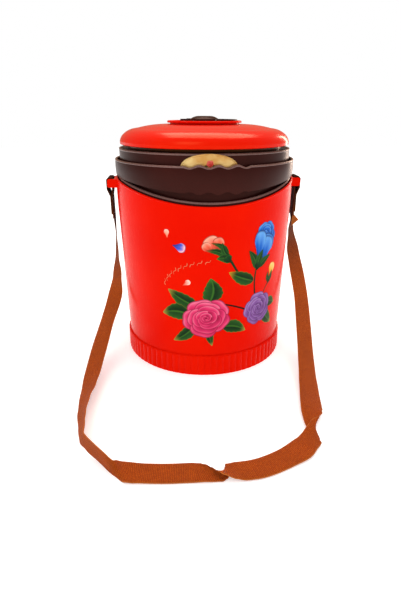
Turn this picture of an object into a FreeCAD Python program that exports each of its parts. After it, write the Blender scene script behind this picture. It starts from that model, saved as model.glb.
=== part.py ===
"""Insulated tiffin carrier: a red bucket with a brown liner, two steel tins, a brown top bowl, a domed lid
with a fold-down handle, and a webbing shoulder strap. Millimetres, +Z up, the origin on the floor under the
middle of the base, -Y towards the front."""

import FreeCAD
import Part
import math
import os
from FreeCAD import Vector

# Bucket
SHELL_WALL = 2.0
SHELL_FOOT_R = 83.2          # the wall where it plugs into the fluted base
SHELL_LOW = (84.5, 22.0)     # radius and height where the wall leaves the fluted base
SHELL_KNEE = (89.7, 161.0)
SHELL_TOP = (90.0, 192.0)
RIM_FRONT_Z = 170.5          # lowest point of the scooped rim, at the front and back
SCOOP_R = 251.0              # the rim is cut by a level cylinder along Y
LINER_STAND = 3.2            # the liner's rim stands this far above the shell's
BASE_H = 22.0
FLUTES = 80
FLUTE_CREST_R = 86.5
FLUTE_VALLEY_R = 85.6
BASE_ROUND = 0.8
BASE_FLOOR = 3.0
FOOT_RING_R = 68.0           # the underside is hollow inside this radius
FOOT_HOLLOW = 1.5

# Liner
LINER_R = 77.0
LINER_WALL = 2.0
LINER_FLOOR_Z = 14.0
LEDGE_Z = 166.0
MOUTH_R = 85.5

# Steel tins
TIN_R = 75.0
TIN_WALL = 0.8
TIN_H = 48.0
TIN_ROUND = 6.0
TIN_BEAD = 0.6
TIN_LID_T = 2.0
TIN_PLUG_R = 72.6
TIN_PLUG_H = 5.0
SEAL_R = 73.9
LOWER_TIN_Z = LINER_FLOOR_Z
MIDDLE_TIN_Z = LOWER_TIN_Z + TIN_H + TIN_LID_T

# Top bowl: a deep bowl hung on the liner's ledge, with a skirt whose front edges are waved for the fingers
BOWL_R = 76.4
BOWL_WALL = 2.0
BOWL_FLOOR_Z = 116.0
BOWL_ROUND = 8.0
NECK_R = 83.0
WEB_Z = 193.0                # top face of the web between neck and skirt
WEB_T = 3.0
SKIRT_TOP_Z = 204.3
SKIRT_TOP_R = 89.5
SKIRT_MID = (89.8, 199.0)
SKIRT_LOW = (87.2, 181.0)
SKIRT_WALL = 2.0
SKIRT_FRONT_Z = 181.8
SKIRT_SCOOP_R = 444.0
WAVE_AZIMUTH = 3.0           # degrees to the right of the front
WAVE_PITCH = 16.4
WAVE_LOBES = 3
WAVE_DEPTH = 1.2

# Lid
PLUG_R = 79.8
PLUG_Z = 176.0
RING_R = 85.0
RING_TOP_Z = 215.0
RING_WALL = 2.0
LIP_R = 73.0
LID_FOAM_TOP_Z = 224.0
LID_SEAL_Z = (182.0, 186.0)
DOME_EDGE_Z = 218.3
DOME_R = 83.8
DOME_SHOULDER = (80.5, 227.3)
DOME_CROWN_EDGE = (67.0, 232.9)
DOME_TOP_Z = 236.4
DOME_FLAT_R = 44.0
DOME_WALL = 2.2
DOME_NECK_R = 76.5
BOSS_R = 6.0                 # the boss inside the dome that the hub's screw bites into
BADGE_AZIMUTH = -2.0
BADGE_Z = 204.6
BADGE_HALF = (24.5, 10.6)
BADGE_T = 1.0

# Plate, hub and handle on top of the lid
PLATE_R = 36.5
PLATE_NECK_R = 34.0
PLATE_UNDER_Z = 237.9
PLATE_RIM_Z = 239.9
PLATE_FLOOR_Z = 237.5
PLATE_RECESS_R = 33.6
HUB_R = 14.0
HUB_EDGE_Z = 241.2
HUB_SHOULDER = (10.8, 243.0)
HUB_TOP_Z = 244.0
HANDLE_TURN = -45.0          # degrees; the folded handle lies towards the back right
PIVOT_Z = 239.7
PIN_R = 1.0
PIN_SPAN = (9.5, 23.5)
EYE_SPAN = (16.5, 23.0)
EYE_R = 1.9
EYE_BORE_R = 1.08
BAIL_OUTER_R = 32.5
BAIL_INNER_R = 27.0
BAIL_ARM = 5.0
BAIL_Z = (238.2, 241.0)
SCREW_R = 2.0
SCREW_HEAD_R = 3.6
SCREW_Z = (229.5, 240.2, 242.4)
CAP_R = 5.0

# Strap lugs
LUG_Y = 13.5
LUG_ARM_T = 2.7
LUG_Z = (177.3, 185.5)
LUG_FACE_X = 90.0
BAR_X = (94.4, 98.2)
LUG_ROUND = 1.8
LUG_PIN_R = 1.8
LUG_PIN_Z = 181.0

# Webbing
WEB_WIDTH = 20.0
WEB_THICK = 1.1
BAR_GAP = 0.2                # between the webbing and the bar it wraps
BAR_TURN = (1.8, 0.5)        # how much the webbing cuts each corner: the bar's round one, its square one
LAP_X = 94.8                 # middle of the inner ply below the bar
PLY_GAP = 0.1
LAP_Z = (168.0, 150.0, 146.0)   # where the plies meet, and where each of them ends
STRAP_PIVOT_Z = 150.0
MOVING_GAP = 0.3
TIP_ANGLES = (20, 40, 60, 76)   # degrees; the widths that round the strap's two ends

# The strap's route from the left lug round the front to the right lug: a point on its middle line and the
# direction across it, from its back edge to its front edge. It turns over once at the front and once at the
# front right.
STRAP_ROUTE = [
    ((-93.4, 0.0, 150.0), (0.0, -1.0, 0.0)),
    ((-93.4, 0.0, 128.0), (0.0, -1.0, 0.0)),
    ((-95.4, -1.0, 105.0), (0.25, -1.0, 0.0)),
    ((-98.6, -5.0, 82.0), (0.65, -0.75, 0.0)),
    ((-101.2, -14.0, 60.0), (0.83, -0.55, 0.0)),
    ((-107.5, -34.0, 38.5), (0.85, -0.5, 0.0)),
    ((-113.5, -60.0, 22.0), (0.88, -0.45, 0.0)),
    ((-117.0, -88.0, 11.5), (0.9, -0.3, 0.15)),
    ((-118.0, -115.0, 8.0), (0.85, -0.1, 0.4)),
    ((-117.2, -140.0, 9.0), (0.6, 0.0, 0.8)),
    ((-115.0, -163.0, 9.7), (0.45, 0.0, 0.9)),
    ((-110.5, -183.0, 9.7), (0.4, 0.0, 0.9)),
    ((-101.0, -200.0, 9.2), (0.35, 0.3, 0.85)),
    ((-86.0, -212.0, 6.5), (0.3, 0.6, 0.7)),
    ((-68.0, -218.5, 2.2), (0.1, 0.95, 0.25)),
    ((-46.0, -220.5, 1.0), (0.0, 1.0, 0.0)),
    ((-24.0, -221.5, 1.4), (0.0, 1.0, 0.0)),
    ((-9.0, -226.0, 7.5), (0.0, 0.6, 0.8)),
    ((7.0, -227.0, 7.0), (0.1, -0.6, 0.8)),
    ((24.0, -221.5, 1.4), (0.25, -0.95, 0.0)),
    ((44.0, -213.0, 1.2), (0.35, -0.95, 0.0)),
    ((61.0, -204.0, 4.0), (0.5, -0.8, -0.3)),
    ((72.5, -190.0, 9.8), (0.5, -0.3, -0.8)),
    ((79.0, -170.5, 9.8), (-0.4, 0.0, -0.9)),
    ((84.5, -149.0, 6.5), (-0.85, 0.0, -0.5)),
    ((90.0, -125.0, 5.0), (-1.0, -0.1, -0.1)),
    ((95.0, -100.0, 10.8), (-1.0, -0.1, 0.0)),
    ((99.5, -76.0, 21.0), (-0.95, -0.3, 0.0)),
    ((103.8, -50.0, 36.5), (-0.9, -0.4, 0.0)),
    ((106.8, -26.0, 56.5), (-0.87, -0.5, 0.0)),
    ((105.0, -10.5, 78.5), (-0.85, -0.55, 0.0)),
    ((98.6, -2.5, 104.0), (-0.7, -0.7, 0.0)),
    ((93.4, 0.0, 128.0), (0.0, -1.0, 0.0)),
    ((93.4, 0.0, 150.0), (0.0, -1.0, 0.0)),
]
BEND_SHARE = 0.45            # of the shorter run, what each tangent arc takes
STRAP_STEP = 7.0             # longest distance between two cross sections
FACE_KNOTS = 6               # cross sections spanned by one face of its skin

OUT = "parts"


def revolve(points):
    """A solid turned about Z from a closed outline of (radius, height) points. An entry of two points is an
    arc through the first to the second."""
    edges = []
    last = Vector(points[0][0], 0, points[0][1])
    first = last
    for entry in points[1:]:
        if isinstance(entry[0], tuple):
            mid, end = (Vector(r, 0, z) for r, z in entry)
            edges.append(Part.Arc(last, mid, end).toShape())
        else:
            end = Vector(entry[0], 0, entry[1])
            edges.append(Part.LineSegment(last, end).toShape())
        last = end
    edges.append(Part.LineSegment(last, first).toShape())
    face = Part.Face(Part.Wire(edges))
    return face.revolve(Vector(0, 0, 0), Vector(0, 0, 1), 360)


def corner(r, z, radius, outward, down):
    """The two points of a quarter-round at a corner: its middle and its end."""
    side = 1 if outward else -1
    drop = -1 if down else 1
    mid = (r - side * radius * (1 - math.sqrt(0.5)), z - drop * radius * (1 - math.sqrt(0.5)))
    return mid, (r, z - drop * radius)


def disc(radius, z0, z1, x=0.0, y=0.0):
    return Part.makeCylinder(radius, z1 - z0, Vector(x, y, z0))


def tube(outer, inner, z0, z1):
    return disc(outer, z0, z1).cut(disc(inner, z0, z1))


def block(x, y, z):
    """A box from three (low, high) pairs."""
    return Part.makeBox(x[1] - x[0], y[1] - y[0], z[1] - z[0], Vector(x[0], y[0], z[0]))


def mirrored(shape):
    """The same piece on the other side of the carrier."""
    return shape.mirror(Vector(0, 0, 0), Vector(1, 0, 0))


def scoop(front_z, radius):
    """A level cylinder along Y whose lowest line is front_z, for cutting a scooped rim."""
    reach = 2 * SHELL_TOP[0]
    return Part.makeCylinder(radius, 2 * reach, Vector(0, -reach, front_z + radius), Vector(0, 1, 0))


def shell_radius(z):
    """Outer radius of the bucket's wall at a height above the fluted base."""
    (r0, z0), (r1, z1) = (SHELL_LOW, SHELL_KNEE) if z < SHELL_KNEE[1] else (SHELL_KNEE, SHELL_TOP)
    return r0 + (r1 - r0) * (z - z0) / (z1 - z0)


def outer_shell():
    wall = revolve([
        (SHELL_FOOT_R, BASE_FLOOR),
        (SHELL_FOOT_R, BASE_H),
        SHELL_LOW,
        SHELL_KNEE,
        SHELL_TOP,
        (SHELL_TOP[0] - SHELL_WALL, SHELL_TOP[1]),
        (SHELL_KNEE[0] - SHELL_WALL, SHELL_KNEE[1]),
        (SHELL_FOOT_R - SHELL_WALL, BASE_H),
        (SHELL_FOOT_R - SHELL_WALL, BASE_FLOOR),
    ])
    wall = wall.cut(scoop(RIM_FRONT_Z, SCOOP_R))
    for pin in lug_pins():
        wall = wall.cut(pin).cut(mirrored(pin))
    return wall


def fluted_base():
    """The cap that closes the bottom: a reeded ring round a floor with a foot ring under it."""
    step = 2 * math.pi / FLUTES
    arcs = []
    for i in range(FLUTES):
        a, b, c = i * step, (i + 0.5) * step, (i + 1) * step
        ends = [Vector(FLUTE_VALLEY_R * math.cos(t), FLUTE_VALLEY_R * math.sin(t), 0) for t in (a, c)]
        crest = Vector(FLUTE_CREST_R * math.cos(b), FLUTE_CREST_R * math.sin(b), 0)
        arcs.append(Part.Arc(ends[0], crest, ends[1]).toShape())
    reeded = Part.Face(Part.Wire(arcs)).extrude(Vector(0, 0, BASE_H))
    envelope = revolve([
        (0, 0),
        (FLUTE_CREST_R - BASE_ROUND, 0),
        corner(FLUTE_CREST_R, 0, BASE_ROUND, True, True),
        (FLUTE_CREST_R, BASE_H - 1.0),
        (FLUTE_CREST_R - 1.4, BASE_H),
        (0, BASE_H),
    ])
    cap = reeded.common(envelope)
    cap = cap.cut(disc(SHELL_FOOT_R, BASE_FLOOR, BASE_H))
    return cap.cut(disc(FOOT_RING_R, 0, FOOT_HOLLOW))


def liner_outline(grow):
    """The liner's outside, or the foam's inside when grown by a little."""
    return [
        (0, LINER_FLOOR_Z - LINER_WALL - grow),
        (LINER_R + LINER_WALL + grow, LINER_FLOOR_Z - LINER_WALL - grow),
        (LINER_R + LINER_WALL + grow, LEDGE_Z - LINER_WALL - grow),
    ]


def inner_liner():
    mouth_out = MOUTH_R + LINER_WALL
    solid = revolve(liner_outline(0) + [
        (mouth_out, LEDGE_Z - LINER_WALL),
        (mouth_out, SHELL_TOP[1]),
        (MOUTH_R, SHELL_TOP[1]),
        (MOUTH_R, LEDGE_Z),
        (LINER_R, LEDGE_Z),
        (LINER_R, LINER_FLOOR_Z),
        (0, LINER_FLOOR_Z),
    ])
    return solid.cut(scoop(RIM_FRONT_Z + LINER_STAND, SCOOP_R - LINER_STAND))


def foam_jacket():
    clear = 0.2
    inside = SHELL_FOOT_R - SHELL_WALL - clear
    top = LEDGE_Z - LINER_WALL - clear
    outer = revolve([
        (0, BASE_FLOOR + clear),
        (inside, BASE_FLOOR + clear),
        (inside, BASE_H),
        (SHELL_KNEE[0] - SHELL_WALL - clear, SHELL_KNEE[1]),
        (SHELL_KNEE[0] - SHELL_WALL - clear, top),
        (0, top),
    ])
    hollow = revolve(liner_outline(clear) + [(0, LEDGE_Z - LINER_WALL - clear)])
    return outer.cut(hollow)


def tin(z):
    """A drawn steel tin standing at z, with a beaded rim."""
    top = z + TIN_H
    inner = TIN_R - TIN_WALL
    return revolve([
        (0, z),
        (TIN_R - TIN_ROUND, z),
        corner(TIN_R, z, TIN_ROUND, True, True),
        (TIN_R, top - 2.0),
        (TIN_R + TIN_BEAD, top - 1.4),
        (TIN_R + TIN_BEAD, top - 0.4),
        (TIN_R, top),
        (inner, top),
        (inner, z + TIN_ROUND),
        ((inner - (TIN_ROUND - TIN_WALL) * (1 - math.sqrt(0.5)),
          z + TIN_WALL + (TIN_ROUND - TIN_WALL) * (1 - math.sqrt(0.5))),
         (inner - TIN_ROUND + TIN_WALL, z + TIN_WALL)),
        (0, z + TIN_WALL),
    ])


def tin_lid(z):
    """A press-in lid for the tin standing at z: a flange on the rim, a hollow plug and a finger bar."""
    top = z + TIN_H
    pan = revolve([
        (0, top - TIN_PLUG_H),
        (TIN_PLUG_R, top - TIN_PLUG_H),
        (TIN_PLUG_R, top),
        (TIN_R + TIN_BEAD, top),
        (TIN_R + TIN_BEAD, top + TIN_LID_T),
        (TIN_PLUG_R - 1.6, top + TIN_LID_T),
        (TIN_PLUG_R - 1.6, top - TIN_PLUG_H + 1.6),
        (0, top - TIN_PLUG_H + 1.6),
    ])
    bar = block((-22, 22), (-2, 2), (top - TIN_PLUG_H + 1.6, top + TIN_LID_T))
    return pan.fuse(bar).removeSplitter()


def tin_seal(z):
    top = z + TIN_H
    return tube(SEAL_R, TIN_PLUG_R, top - TIN_PLUG_H + 1.0, top - 1.5)


def waved_tool(edge_z, reach_z, sign):
    """A tool at the waved front: everything from a wavy edge at edge_z out to reach_z. The edge is a row of
    arcs; sign 1 puts a lobe of material at the middle of a top edge, -1 at that of a bottom edge."""
    half = WAVE_PITCH / 2
    count = 2 * WAVE_LOBES + 1
    start = -count * half / 2
    edges = []
    last = Vector(start, 0, edge_z)
    for i in range(count):
        end = Vector(start + (i + 1) * half, 0, edge_z)
        bulge = sign * WAVE_DEPTH * (1 if (i - WAVE_LOBES) % 2 == 0 else -1)
        mid = Vector((last.x + end.x) / 2, 0, edge_z + bulge)
        edges.append(Part.Arc(last, mid, end).toShape())
        last = end
    far = Vector(last.x, 0, reach_z)
    near = Vector(start, 0, reach_z)
    for a, b in ((last, far), (far, near), (near, Vector(start, 0, edge_z))):
        edges.append(Part.LineSegment(a, b).toShape())
    tool = Part.Face(Part.Wire(edges)).extrude(Vector(0, -2 * SKIRT_TOP_R, 0))
    tool.rotate(Vector(0, 0, 0), Vector(0, 0, 1), WAVE_AZIMUTH)
    return tool


def skirt():
    """The bowl's outer band: taller at the front, with both edges waved there."""
    margin = 4.0
    top = SKIRT_TOP_Z + margin
    wall = revolve([
        SKIRT_LOW,
        (SKIRT_MID, (SKIRT_TOP_R, SKIRT_TOP_Z)),
        (SKIRT_TOP_R, top),
        (SKIRT_TOP_R - SKIRT_WALL, top),
        (SKIRT_TOP_R - SKIRT_WALL, SKIRT_TOP_Z),
        ((SKIRT_MID[0] - SKIRT_WALL, SKIRT_MID[1]), (SKIRT_LOW[0] - SKIRT_WALL, SKIRT_LOW[1])),
    ])
    above = disc(2 * SKIRT_TOP_R, SKIRT_TOP_Z, top + margin)
    half = (2 * WAVE_LOBES + 1) * WAVE_PITCH / 4
    front = block((-half, half), (-2 * SKIRT_TOP_R, 0), (SKIRT_TOP_Z - 1, top + margin))
    front.rotate(Vector(0, 0, 0), Vector(0, 0, 1), WAVE_AZIMUTH)
    wall = wall.cut(above.cut(front))
    wall = wall.cut(waved_tool(SKIRT_TOP_Z, top + margin, 1))
    low = SKIRT_LOW[1] - margin
    edge = SKIRT_FRONT_Z
    below = block((-2 * SKIRT_TOP_R, 2 * SKIRT_TOP_R), (-2 * SKIRT_TOP_R, 2 * SKIRT_TOP_R),
                  (low, edge + 2 * margin + WAVE_DEPTH))
    below = below.cut(scoop(edge, SKIRT_SCOOP_R))
    front = block((-half, half), (-2 * SKIRT_TOP_R, 0), (low, edge + margin))
    front.rotate(Vector(0, 0, 0), Vector(0, 0, 1), WAVE_AZIMUTH)
    wall = wall.cut(below.cut(front))
    return wall.cut(waved_tool(edge + 0.6, low, -1))


def top_bowl():
    inner = BOWL_R - BOWL_WALL
    neck_in = NECK_R - BOWL_WALL
    web_r = SKIRT_LOW[0] - SKIRT_WALL + 2.4
    small = BOWL_ROUND - BOWL_WALL
    bowl = revolve([
        (0, BOWL_FLOOR_Z),
        (BOWL_R - BOWL_ROUND, BOWL_FLOOR_Z),
        corner(BOWL_R, BOWL_FLOOR_Z, BOWL_ROUND, True, True),
        (BOWL_R, LEDGE_Z),
        (NECK_R, LEDGE_Z),
        (NECK_R, WEB_Z - WEB_T),
        (web_r, WEB_Z - WEB_T),
        (web_r, WEB_Z),
        (neck_in, WEB_Z),
        (neck_in, LEDGE_Z + BOWL_WALL),
        (inner, LEDGE_Z + BOWL_WALL),
        (inner, BOWL_FLOOR_Z + BOWL_ROUND),
        ((inner - small * (1 - math.sqrt(0.5)), BOWL_FLOOR_Z + BOWL_WALL + small * (1 - math.sqrt(0.5))),
         (inner - small, BOWL_FLOOR_Z + BOWL_WALL)),
        (0, BOWL_FLOOR_Z + BOWL_WALL),
    ])
    return bowl.fuse(skirt()).removeSplitter()


def lid_inner_shell():
    """The lid's brown underside: a plug that enters the bowl and the ring that carries the badge."""
    return revolve([
        (0, PLUG_Z),
        (PLUG_R - 3.0, PLUG_Z),
        corner(PLUG_R, PLUG_Z, 3.0, True, True),
        (PLUG_R, WEB_Z),
        (RING_R, WEB_Z),
        (RING_R, RING_TOP_Z),
        (LIP_R, RING_TOP_Z),
        (LIP_R, RING_TOP_Z - RING_WALL),
        (RING_R - RING_WALL, RING_TOP_Z - RING_WALL),
        (RING_R - RING_WALL, WEB_Z + RING_WALL),
        (PLUG_R - RING_WALL, WEB_Z + RING_WALL),
        (PLUG_R - RING_WALL, PLUG_Z + RING_WALL),
        (0, PLUG_Z + RING_WALL),
    ])


def lid_foam():
    clear = 0.3
    inside = PLUG_R - RING_WALL - clear
    return revolve([
        (0, PLUG_Z + RING_WALL + clear),
        (inside, PLUG_Z + RING_WALL + clear),
        (inside, WEB_Z + RING_WALL + clear),
        (RING_R - RING_WALL - clear, WEB_Z + RING_WALL + clear),
        (RING_R - RING_WALL - clear, RING_TOP_Z - RING_WALL - clear),
        (LIP_R - clear, RING_TOP_Z - RING_WALL - clear),
        (LIP_R - clear, LID_FOAM_TOP_Z),
        (0, LID_FOAM_TOP_Z),
    ])


def lid_seal():
    return tube(NECK_R - BOWL_WALL - MOVING_GAP, PLUG_R, *LID_SEAL_Z)


def lid_dome():
    """The red cap of the lid: a shallow crown on a deep rounded shoulder, standing on a narrower neck."""
    t = DOME_WALL
    outside = [
        (DOME_NECK_R, DOME_EDGE_Z),
        (DOME_R - 0.6, DOME_EDGE_Z),
        (DOME_R, DOME_EDGE_Z + 0.6),
        (DOME_R, DOME_EDGE_Z + 3.0),
        ((83.0, 223.9), DOME_SHOULDER),
        ((75.8, 230.6), DOME_CROWN_EDGE),
        ((56.0, 235.2), (DOME_FLAT_R, DOME_TOP_Z)),
        (0, DOME_TOP_Z),
    ]
    inside = [
        (0, DOME_TOP_Z - t),
        (DOME_FLAT_R, DOME_TOP_Z - t),
        (DOME_CROWN_EDGE[0] - 0.5, DOME_CROWN_EDGE[1] - t),
        (DOME_SHOULDER[0] - 1.6, DOME_SHOULDER[1] - t),
        (DOME_R - t, DOME_EDGE_Z + t + 0.5),
        (DOME_R - t, DOME_EDGE_Z + t),
        (DOME_NECK_R - t, DOME_EDGE_Z + t),
        (DOME_NECK_R - t, RING_TOP_Z),
        (DOME_NECK_R, RING_TOP_Z),
    ]
    cap = revolve(outside + inside)
    boss = disc(BOSS_R, SCREW_Z[0] - 1.5, DOME_TOP_Z - t)
    return cap.fuse(boss).removeSplitter().cut(disc(SCREW_R, SCREW_Z[0] - 0.5, DOME_TOP_Z))


def lid_badge():
    """A gold oval plaque on the front of the lid's ring."""
    ellipse = Part.Ellipse(Vector(0, 0, 0), *BADGE_HALF)
    face = Part.Face(Part.Wire([ellipse.toShape()]))
    face.rotate(Vector(0, 0, 0), Vector(1, 0, 0), 90)
    face.translate(Vector(0, 0, BADGE_Z))
    plug = face.extrude(Vector(0, -2 * RING_R, 0))
    plug.rotate(Vector(0, 0, 0), Vector(0, 0, 1), BADGE_AZIMUTH)
    low, high = BADGE_Z - BADGE_HALF[1] - 1, BADGE_Z + BADGE_HALF[1] + 1
    return plug.common(tube(RING_R + BADGE_T, RING_R, low, high))


def top_plate():
    plate = revolve([
        (0, DOME_TOP_Z),
        (PLATE_NECK_R, DOME_TOP_Z),
        (PLATE_NECK_R, PLATE_UNDER_Z),
        (PLATE_R, PLATE_UNDER_Z),
        ((PLATE_R + 0.3, PLATE_UNDER_Z + 1.2), (PLATE_R - 0.8, PLATE_RIM_Z)),
        (PLATE_RECESS_R, PLATE_RIM_Z),
        (PLATE_RECESS_R - 0.8, PLATE_FLOOR_Z),
        (0, PLATE_FLOOR_Z),
    ])
    return plate.cut(disc(SCREW_R + 0.1, DOME_TOP_Z, PLATE_FLOOR_Z))


def turned(shape):
    """Turns a piece of the handle, drawn with its pins along X, to where the folded handle lies."""
    shape.rotate(Vector(0, 0, 0), Vector(0, 0, 1), HANDLE_TURN)
    return shape


def across_x(radius, x0, x1, z):
    """A rod along X from x0 to x1 at a height."""
    return Part.makeCylinder(radius, x1 - x0, Vector(x0, 0, z), Vector(1, 0, 0))


def pivot_pins():
    near, far = PIN_SPAN
    pins = [across_x(PIN_R, near, far, PIVOT_Z), across_x(PIN_R, -far, -near, PIVOT_Z)]
    return turned(Part.Compound(pins))


def handle_hub():
    hub = revolve([
        (0, PLATE_FLOOR_Z),
        (HUB_R, PLATE_FLOOR_Z),
        (HUB_R, HUB_EDGE_Z),
        (HUB_SHOULDER, (CAP_R + 1.0, HUB_TOP_Z)),
        (0, HUB_TOP_Z),
    ])
    hub = hub.cut(disc(SCREW_R + 0.1, PLATE_FLOOR_Z, HUB_TOP_Z))
    hub = hub.cut(disc(CAP_R, SCREW_Z[1], HUB_TOP_Z))
    return hub.cut(pivot_pins())


def hub_screw():
    shank = disc(SCREW_R, SCREW_Z[0], SCREW_Z[1])
    return shank.fuse(disc(SCREW_HEAD_R, SCREW_Z[1], SCREW_Z[2])).removeSplitter()


def screw_cap():
    ring = tube(CAP_R, SCREW_HEAD_R, SCREW_Z[1], SCREW_Z[2])
    return ring.fuse(disc(CAP_R, SCREW_Z[2], HUB_TOP_Z)).removeSplitter()


def carry_handle():
    """A half-ring bail that lies flat on the plate and turns up about the two pins."""
    ring = tube(BAIL_OUTER_R, BAIL_INNER_R, *BAIL_Z)
    ring = ring.common(block((-BAIL_OUTER_R, BAIL_OUTER_R), (0, BAIL_OUTER_R), BAIL_Z))
    near, far = EYE_SPAN
    arm_end = BAIL_OUTER_R - 0.5
    for side in (1, -1):
        ring = ring.fuse(block(sorted((side * near, side * arm_end)), (0, BAIL_ARM), BAIL_Z))
        ring = ring.fuse(across_x(EYE_R, *sorted((side * near, side * far)), PIVOT_Z))
    ring = ring.removeSplitter()
    bore_end = PIN_SPAN[1] + MOVING_GAP
    for side in (1, -1):
        ring = ring.cut(across_x(EYE_BORE_R, *sorted((side * (near - 1), side * bore_end)), PIVOT_Z))
    return turned(ring)


def lug_pins():
    """The two stubs that plug the right-hand lug into the bucket's wall."""
    start = SHELL_TOP[0] - SHELL_WALL
    return [
        Part.makeCylinder(LUG_PIN_R, LUG_FACE_X + 1 - start, Vector(start, y, LUG_PIN_Z), Vector(1, 0, 0))
        for y in (-LUG_Y / 2, LUG_Y / 2)
    ]


def strap_lug():
    """The right-hand lug: a foot against the wall, two arms and the bar that the webbing wraps."""
    z0, z1 = LUG_Z
    foot = block((LUG_FACE_X - 4, LUG_FACE_X + 1.8), (-LUG_Y, LUG_Y), LUG_Z)
    low, high = z0 - 1, z1 + 1
    inside = revolve([(0, low), (shell_radius(low), low), (shell_radius(high), high), (0, high)])
    lug = foot.cut(inside)
    for pin in lug_pins():
        lug = lug.fuse(pin)
    arm_x = (LUG_FACE_X + 0.5, BAR_X[1])
    for y in ((-LUG_Y, -LUG_Y + LUG_ARM_T), (LUG_Y - LUG_ARM_T, LUG_Y)):
        lug = lug.fuse(block(arm_x, y, LUG_Z))
    bar = block(BAR_X, (-LUG_Y, LUG_Y), LUG_Z)
    lug = lug.fuse(bar).removeSplitter()
    outer_edges = [
        e for e in lug.Edges
        if e.BoundBox.YLength > 2 * LUG_Y - 0.1 and e.BoundBox.XMin > BAR_X[1] - 0.01
    ]
    return lug.makeFillet(LUG_ROUND, outer_edges)


def strap_end():
    """The webbing's right-hand end, folded over the bar and sewn to itself below it: a chain of flat links
    whose middle line is drawn in (x, z)."""
    half = WEB_THICK / 2
    out_x = BAR_X[1] + BAR_GAP + half
    in_x = BAR_X[0] - BAR_GAP - half
    top_z = LUG_Z[1] + BAR_GAP + half
    low_z = LUG_Z[0] - 2.0
    short_x = LAP_X + WEB_THICK + PLY_GAP
    meet, short_end, long_end = LAP_Z
    round_turn, square_turn = BAR_TURN
    path = [
        (short_x, short_end),
        (short_x, meet),
        (out_x, low_z),
        (out_x, top_z - round_turn),
        (out_x - round_turn, top_z),
        (in_x + square_turn, top_z),
        (in_x, top_z - square_turn),
        (in_x, low_z),
        (LAP_X, meet),
        (LAP_X, long_end),
    ]
    strip = None
    for (x0, z0), (x1, z1) in zip(path, path[1:]):
        length = math.hypot(x1 - x0, z1 - z0)
        link = Part.makeBox(length, WEB_WIDTH, WEB_THICK, Vector(0, -WEB_WIDTH / 2, -half))
        link.rotate(Vector(0, 0, 0), Vector(0, 1, 0), -math.degrees(math.atan2(z1 - z0, x1 - x0)))
        link.translate(Vector(x0, 0, z0))
        bend = Part.makeCylinder(half, WEB_WIDTH, Vector(x1, -WEB_WIDTH / 2, z1), Vector(0, 1, 0))
        strip = link.fuse(bend) if strip is None else strip.fuse(link).fuse(bend)
    return strip.removeSplitter()


def bent_path(points):
    """The middle line through the route: straight runs joined by tangent arcs. Returns points along it,
    each with its distance share between route points, and prints the arcs' radii."""
    pts = [Vector(*p) for p in points]
    samples = [(pts[0], 0.0)]
    radii = []
    for i in range(1, len(pts) - 1):
        back, on = pts[i] - pts[i - 1], pts[i + 1] - pts[i]
        shorter = min(back.Length, on.Length)
        turn = back.getAngle(on)
        take = BEND_SHARE * shorter
        start = pts[i] - back / back.Length * take
        end = pts[i] + on / on.Length * take
        if turn < 1e-3:
            samples.append((pts[i], float(i)))
            continue
        radius = take / math.tan(turn / 2)
        radii.append(radius)
        middle = (start + end) / 2
        away = middle - pts[i]
        centre = pts[i] + away / away.Length * (radius / math.cos(turn / 2))
        steps = max(2, math.ceil(radius * turn / STRAP_STEP))
        u = start - centre
        v = end - centre
        for k in range(steps + 1):
            t = k / steps
            blend = u * (math.sin((1 - t) * turn) / math.sin(turn)) + v * (math.sin(t * turn) / math.sin(turn))
            share = (1 - t) * take / back.Length * -1 + t * take / on.Length
            samples.append((centre + blend, i + share))
    samples.append((pts[-1], float(len(pts) - 1)))
    print("strap radii, mm:", " ".join("%.0f" % r for r in radii))
    return samples


def across_at(share):
    """The direction across the webbing at a place on the route, as a share between route points."""
    i = min(int(share), len(STRAP_ROUTE) - 2)
    t = share - i
    t = t * t * (3 - 2 * t)
    a = Vector(*STRAP_ROUTE[i][1])
    b = Vector(*STRAP_ROUTE[i + 1][1])
    return a * (1 - t) + b * t


def strap_places():
    """Cross sections for the free strap: a point, the direction along, the direction across and half the
    width there, with a rounded tip at each end."""
    samples = bent_path([p for p, _ in STRAP_ROUTE])
    points = [samples[0]]
    for (p, s), (q, u) in zip(samples, samples[1:]):
        gap = (q - p).Length
        count = math.ceil(gap / STRAP_STEP) if gap > 0.05 else 0
        for k in range(1, count + 1):
            points.append((p + (q - p) * (k / count), s + (u - s) * k / count))
    places = []
    for i, (p, share) in enumerate(points):
        along = points[min(i + 1, len(points) - 1)][0] - points[max(i - 1, 0)][0]
        along.normalize()
        across = across_at(share)
        across = across - along * across.dot(along)
        across.normalize()
        places.append((p, along, across, WEB_WIDTH / 2))
    length = sum((q - p).Length for (p, _), (q, _) in zip(points, points[1:]))
    print("strap middle line %.0f mm" % length)
    tips = []
    for point, along, across, half in (places[0], places[-1]):
        tip = []
        for angle in TIP_ANGLES:
            a = math.radians(angle)
            tip.append((point + Vector(0, 0, half * math.sin(a)), along, across, half * math.cos(a)))
        tips.append(tip)
    return tips[0][::-1] + places + tips[1], length


def skin(rails):
    """A smooth surface between two rails of control points, cut into short faces."""
    count = len(rails[0])
    mults = [4] + [1] * (count - 4) + [4]
    knots = list(range(len(mults)))
    surface = Part.BSplineSurface()
    poles = [[a, b] for a, b in zip(*rails)]
    surface.buildFromPolesMultsKnots(poles, mults, [2, 2], knots, [0, 1], False, False, 3, 1)
    faces = []
    for start in range(0, knots[-1], FACE_KNOTS):
        piece = surface.copy()
        piece.segment(start, min(start + FACE_KNOTS, knots[-1]), 0, 1)
        faces.append(piece.toShape())
    return faces


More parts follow.
